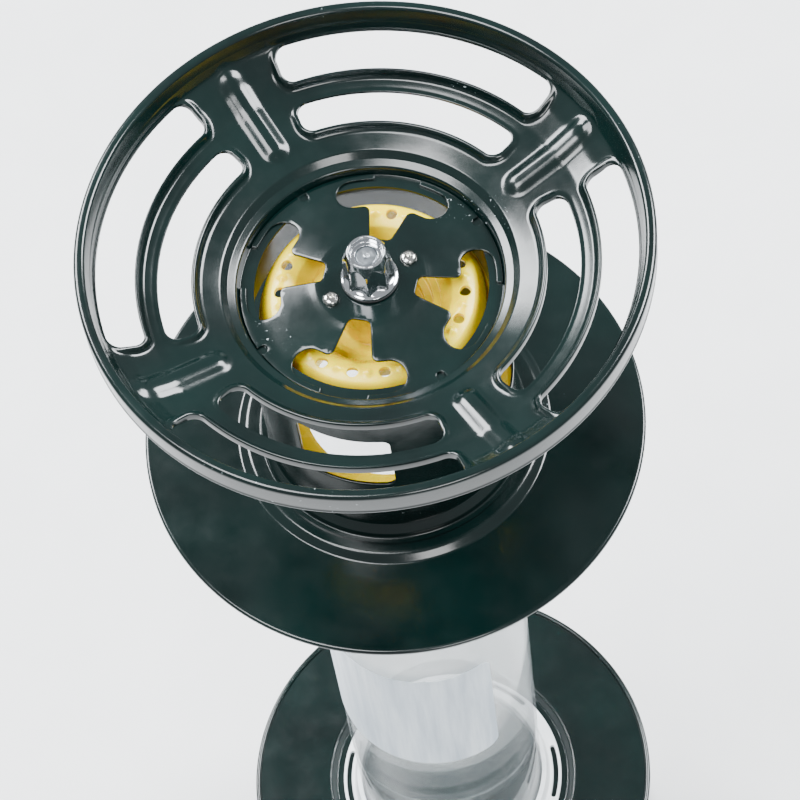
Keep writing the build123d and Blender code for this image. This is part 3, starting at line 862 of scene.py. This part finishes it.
class REEL_OT_pressings(ReelOperator, Operator):
    """Make the slotted flanges, centre plates, drums and inner flanges"""
    bl_idname = "reel.pressings"
    bl_label = "Pressings"

    def execute(self, context):
        sizes, colours = self.settings(context)
        coat = powder_coated_steel(colours)
        add_ends("slotted_flange", slotted_flange(sizes), coat)
        add_ends("drum", drum(sizes), coat)
        for side in SIDES:
            add_end("inner_flange", side, joined(inner_flange(sizes, closed=side == "lower")), coat)
        plate = centre_plate(sizes)
        for side in SIDES:
            add_end("centre_plate", side, plate, coat, crease=50)
        return {"FINISHED"}


class REEL_OT_mouldings(ReelOperator, Operator):
    """Make the hubs, the tube socket and the collars"""
    bl_idname = "reel.mouldings"
    bl_label = "Mouldings"

    def execute(self, context):
        sizes, colours = self.settings(context)
        plastic = moulded_plastic(colours)
        add_ends("hub", hub(sizes), plastic)
        add_end("tube_socket", "upper", joined(tube_socket()), plastic)
        add_ends("tube_collar", tube_collar(sizes), white_plastic())
        return {"FINISHED"}


class REEL_OT_hardware(ReelOperator, Operator):
    """Make the nuts, washers, stub axles and plate screws, and finish the bearings"""
    bl_idname = "reel.hardware"
    bl_label = "Hardware"

    def execute(self, context):
        sizes, _ = self.settings(context)
        add_ends("nut", fluted_nut(sizes), chrome_plate("chrome_plate", "chrome_plate", "#d9dbde"), STUBS)
        add_ends("washer", washer(), moulded_rubber(), STUBS)
        add_ends("stub_axle", stub_axle(), turned_steel("turned_steel", "shaft_steel", "#8d9296", 0.5), STUBS)
        screws = [(plate_screw() + spot, False, True) for spot in screw_spots()]
        add_ends("plate_screws", screws, chrome_plate("bright_zinc_plate", "bright_screw", "#cfcdc8"))
        ground = turned_steel("ground_bearing_steel", "bearing_steel", "#a3a7ab", 0.3)[1]
        spring = turned_steel("spring_steel", "shaft_steel", "#6f7478", 0.4)[1]
        for side in SIDES:
            for part, material in (("bearing_outer_races", ground), ("bearing_inner_races", ground),
                                   ("bearing_balls", ground), ("retaining_ring", spring)):
                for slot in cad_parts[f"{side}_{part}"].material_slots:
                    slot.material = material
        return {"FINISHED"}


class REEL_OT_tube(ReelOperator, Operator):
    """Make the clear tube and its blank label"""
    bl_idname = "reel.tube"
    bl_label = "Tube and label"

    def execute(self, context):
        sizes, colours = self.settings(context)
        for part, patches, finish in (("clear_tube", clear_tube(sizes), clear_plastic(colours)),
                                      ("tube_label", tube_label(sizes), label_paper())):
            points, faces = joined(patches)
            add_piece(f"{part}_shape", placed(points, "upper"), faces, finish, "reel", [part])
        return {"FINISHED"}


# Stage, in metres and degrees
FLOOR_HALF, FLOOR_LINES = 6.0, 13
CAMERA_AT = (0.1196, -0.8140, 2.2349)
CAMERA_TURN = (7.98, 29.18, -9.12)     # heading, tilt from straight down, and roll
CAMERA_LENS = 135.16                   # millimetres, on a sensor 36 mm wide


class REEL_OT_stage(ReelOperator, Operator):
    """Make the floor, the soft lights and the camera"""
    bl_idname = "reel.stage"
    bl_label = "Stage"

    def execute(self, context):
        scene = context.scene
        steps = np.linspace(-FLOOR_HALF, FLOOR_HALF, FLOOR_LINES)
        x, y = np.meshgrid(steps, steps, indexing="ij")
        mesh = bpy.data.meshes.new("floor")
        mesh.from_pydata(np.stack([x, y, 0 * x], axis=-1).reshape(-1, 3).tolist(), [],
                         grid_faces(FLOOR_LINES, FLOOR_LINES, False, False).tolist())
        floor = bpy.data.objects.new("floor", mesh)
        mesh.materials.append(pale_floor())
        scene.collection.objects.link(floor)
        self.light(scene, "overhead_softbox", (-1.0, -0.5, 3.6), (0, 0, 0.5), 1.4, 130, "#f6f8fa")
        self.light(scene, "left_softbox", (-1.6, 1.3, 2.5), (-0.1, 0.5, 0.1), 1.2, 170, "#f4f8fb")
        self.light(scene, "right_softbox", (1.7, 1.0, 2.5), (0.1, 0.5, 0.1), 1.2, 170, "#f4f8fb")
        self.light(scene, "front_softbox", (0.9, -2.6, 2.6), (0, 0, 0.7), 1.0, 40, "#ffffff")
        world = bpy.data.worlds.new("soft_room")
        world.use_nodes = True
        background = world.node_tree.nodes["Background"]
        background.inputs["Color"].default_value = linear("#e6ebef")
        background.inputs["Strength"].default_value = 0.6
        scene.world = world
        lens = bpy.data.cameras.new("camera")
        lens.lens, lens.sensor_width = CAMERA_LENS, 36.0
        camera = bpy.data.objects.new("camera", lens)
        heading, tilt, roll = (radians(v) for v in CAMERA_TURN)
        camera.matrix_world = (Matrix.Translation(CAMERA_AT) @ Matrix.Rotation(heading, 4, "Z")
                               @ Matrix.Rotation(tilt, 4, "X") @ Matrix.Rotation(roll, 4, "Z"))
        scene.collection.objects.link(camera)
        scene.camera = camera
        return {"FINISHED"}

    def light(self, scene, name, at, towards, size, power, tone):
        """Square soft light of that size in metres and power in watts, aimed at a point."""
        data = bpy.data.lights.new(name, "AREA")
        data.size, data.energy, data.color = size, power, linear(tone)[:3]
        lamp = bpy.data.objects.new(name, data)
        aim = (Vector(towards) - Vector(at)).to_track_quat("-Z", "Y")
        lamp.matrix_world = Matrix.Translation(at) @ aim.to_matrix().to_4x4()
        scene.collection.objects.link(lamp)


class REEL_PT_panel(Panel):
    """Sidebar panel with the reel's settings and operators"""
    bl_idname = "REEL_PT_panel"
    bl_label = "Cover Reel"
    bl_space_type = "VIEW_3D"
    bl_region_type = "UI"
    bl_category = "Reel"

    def draw(self, context):
        layout = self.layout
        for group in (context.scene.reel_sizes, context.scene.reel_colours):
            box = layout.box()
            for key in group.__annotations__:
                box.prop(group, key)
        for operator in OPERATORS:
            layout.operator(operator.bl_idname)


OPERATORS = (REEL_OT_pressings, REEL_OT_mouldings, REEL_OT_hardware, REEL_OT_tube, REEL_OT_stage)
CLASSES = (ReelSizes, ReelColours, *OPERATORS, REEL_PT_panel)


def register():
    for cls in CLASSES:
        bpy.utils.register_class(cls)
    bpy.types.Scene.reel_sizes = PointerProperty(type=ReelSizes)
    bpy.types.Scene.reel_colours = PointerProperty(type=ReelColours)


def unregister():
    del bpy.types.Scene.reel_colours
    del bpy.types.Scene.reel_sizes
    for cls in reversed(CLASSES):
        bpy.utils.unregister_class(cls)


def main():
    register()
    bpy.ops.reel.pressings()
    bpy.ops.reel.mouldings()
    bpy.ops.reel.hardware()
    bpy.ops.reel.tube()
    bpy.ops.reel.stage()


if __name__ == "__main__":
    main()
